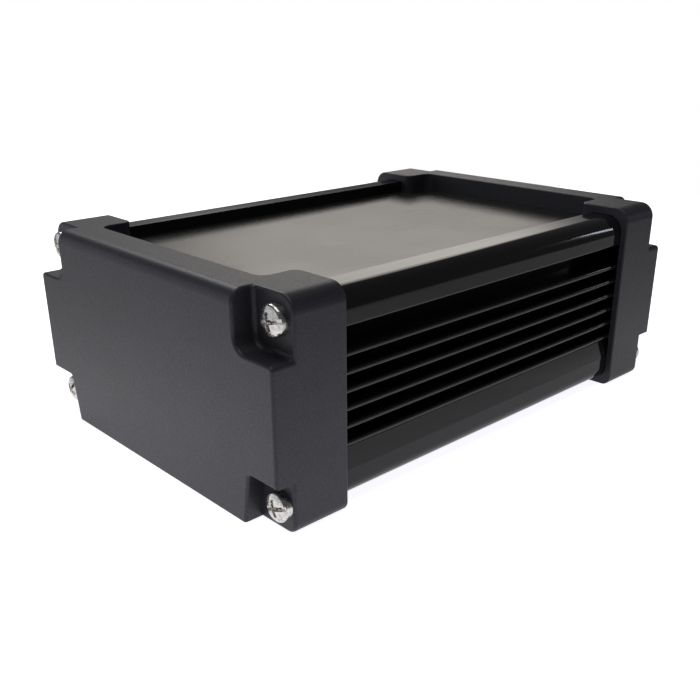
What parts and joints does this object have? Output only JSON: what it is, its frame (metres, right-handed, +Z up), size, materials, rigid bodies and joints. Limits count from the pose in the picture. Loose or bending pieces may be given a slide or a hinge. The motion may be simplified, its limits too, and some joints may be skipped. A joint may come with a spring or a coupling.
{
  "type": "micro inverter",
  "caption": "Box-shaped solar micro inverter: finned black aluminium tube housing closed by two notched charcoal end caps, with sockets on the rear cap.",
  "frame": {"origin": "centre of the bounding box at the height of the caps' undersides, on which the case rests", "axes": "+X along the housing from the plain front cap to the rear cap with the sockets, +Z up, the finned sides face +Y and -Y"},
  "size_m": [0.1882, 0.1132, 0.06],
  "materials": {
    "black_anodised_aluminium": "satin black anodised",
    "satin_black_plate": "satin black anodised sheet",
    "charcoal_powder_coat": "fine textured charcoal powder coat on a casting",
    "grey_silicone": "matte",
    "nickel_plated_steel": "bright nickel plate",
    "black_nylon": "satin moulding",
    "tinned_brass": "tinned",
    "grey_insert": "satin moulding",
    "clear_acrylic": "clear and smooth",
    "green_solder_mask": "semi-gloss",
    "green_terminal_plastic": "satin moulding",
    "red_insulation": "matte",
    "black_insulation": "matte",
    "brown_insulation": "matte",
    "blue_insulation": "matte",
    "earth_insulation": "matte",
    "dark_capacitor_sleeve": "shrink sleeve",
    "yellow_film_case": "moulded case",
    "grey_film_case": "moulded case",
    "dark_ferrite": "sintered, matte",
    "bobbin_plastic": "moulding",
    "enamelled_copper": "enamelled wire",
    "taped_winding": "polyester tape over wire",
    "black_epoxy": "moulded package",
    "grey_thermal_strip": "matte",
    "spring_steel": "brushed",
    "relay_case": "moulded case",
    "blue_varistor": "dipped coating",
    "fuse_glass": "glass tube with metal ends",
    "lamp_plastic": "diffused"
  },
  "bodies": {
    "root": {"extruded_housing": "black_anodised_aluminium", "top_plate": "satin_black_plate", "front_end_cap": "charcoal_powder_coat", "rear_end_cap": "charcoal_powder_coat", "front_gasket": "grey_silicone", "rear_gasket": "grey_silicone", "front_cap_screws": "nickel_plated_steel", "rear_cap_screws": "nickel_plated_steel", "dc_positive_socket": "black_nylon", "dc_negative_socket": "black_nylon", "dc_positive_contact": "tinned_brass", "dc_negative_contact": "tinned_brass", "dc_socket_seals": "grey_silicone", "dc_socket_nuts": "black_nylon", "ac_socket": "black_nylon", "ac_insert": "grey_insert", "ac_contacts": "tinned_brass", "ac_socket_seal": "grey_silicone", "ac_socket_nut": "black_nylon", "vent_plug": "black_nylon", "vent_nut": "black_nylon", "light_pipe": "clear_acrylic", "earth_screw": "nickel_plated_steel", "earth_washer": "nickel_plated_steel", "dc_terminal_block": "green_terminal_plastic", "ac_terminal_block": "green_terminal_plastic", "dc_positive_lead": "red_insulation", "dc_negative_lead": "black_insulation", "ac_line_lead": "brown_insulation", "ac_neutral_lead": "blue_insulation", "ac_earth_lead": "earth_insulation", "input_capacitors": "dark_capacitor_sleeve", "dc_link_capacitors": "grey_film_case", "filter_capacitor": "yellow_film_case", "transformer_core": "dark_ferrite", "transformer_bobbin": "bobbin_plastic", "primary_winding": "enamelled_copper", "secondary_winding": "taped_winding", "input_choke_core": "dark_ferrite", "input_choke_winding": "enamelled_copper", "output_choke_core": "dark_ferrite", "output_choke_winding": "enamelled_copper", "common_mode_choke_core": "dark_ferrite", "common_mode_choke_windings": "enamelled_copper", "switching_transistors": "black_epoxy", "bridge_transistors": "black_epoxy", "insulating_strips": "grey_thermal_strip", "clamp_bars": "spring_steel", "clamp_screws": "nickel_plated_steel", "grid_relay": "relay_case", "surge_varistor": "blue_varistor", "fuse": "fuse_glass", "fuse_clips": "spring_steel", "status_led": "lamp_plastic", "control_board": "green_solder_mask", "control_header": "black_nylon", "microcontroller": "black_epoxy", "main_circuit_board": "green_solder_mask"}
  },
  "joints": []
}
